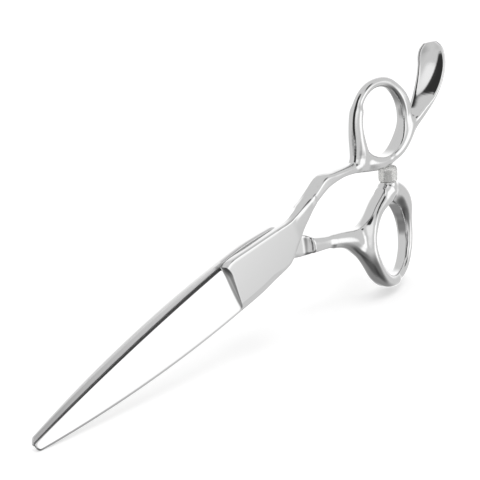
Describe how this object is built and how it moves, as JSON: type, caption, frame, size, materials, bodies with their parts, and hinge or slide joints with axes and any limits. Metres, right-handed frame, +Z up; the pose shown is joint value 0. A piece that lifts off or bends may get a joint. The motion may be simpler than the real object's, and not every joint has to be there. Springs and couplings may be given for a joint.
{
  "type": "hair cutting shears",
  "caption": "Offset-handle hair cutting shears with sword blades, a finger rest, a bumper stop and a ball-bearing tension dial.",
  "frame": {"origin": "on the pivot axis, at the outer face of the tension dial, the pivot's lowest face, which rests on the table", "axes": "+X along the shears from the pivot to the handles, with the blade tips at -X; +Y towards the finger ring; +Z up, out of the finger half's outer face"},
  "size_m": [0.2031, 0.0691, 0.012],
  "materials": {
    "blade_steel": "hardened stainless steel, outer face mirror-polished, inner face finely ground",
    "handle_steel": "mirror-polished stainless steel",
    "dial_steel": "polished steel with a satin face",
    "ground_steel": "ground",
    "dark_steel": "dark oxide",
    "bronze": "turned bronze",
    "washer_polymer": "white low-friction polymer",
    "clear_silicone": "milky clear silicone"
  },
  "bodies": {
    "finger_side": {"finger_blade": "blade_steel", "finger_handle": "handle_steel", "pivot_stud": "ground_steel", "stud_key_pin": "ground_steel", "dial_side_race": "ground_steel", "spring_washer": "ground_steel", "ratchet_plate": "ground_steel", "cap_screw": "dark_steel"},
    "thumb_side": {"thumb_blade": "blade_steel", "thumb_handle": "handle_steel", "pivot_bush": "bronze", "ride_washer": "washer_polymer", "blade_side_race": "ground_steel", "bumper": "clear_silicone", "bumper_post": "dark_steel"},
    "ball_set": {"ball_cage": "bronze", "bearing_balls": "ground_steel"},
    "dial": {"tension_dial": "dial_steel", "click_leaf": "ground_steel"}
  },
  "joints": [
    {"name": "pivot", "type": "hinge", "parent": "finger_side", "child": "thumb_side", "pos_m": [0, 0, 0.0064], "axis": [0, 0, -1], "range_deg": [0, 90]},
    {"name": "ball_orbit", "type": "hinge", "parent": "finger_side", "child": "ball_set", "pos_m": [0, 0, 0.0064], "axis": [0, 0, -1], "range_deg": [0, 45]},
    {"name": "dial_turn", "type": "hinge", "parent": "finger_side", "child": "dial", "pos_m": [0, 0, 0], "axis": [0, 0, -1], "range_deg": [-180, 180]}
  ],
  "couplings": [
    {"joint": "ball_orbit", "follows": "pivot", "ratio": 0.5}
  ]
}
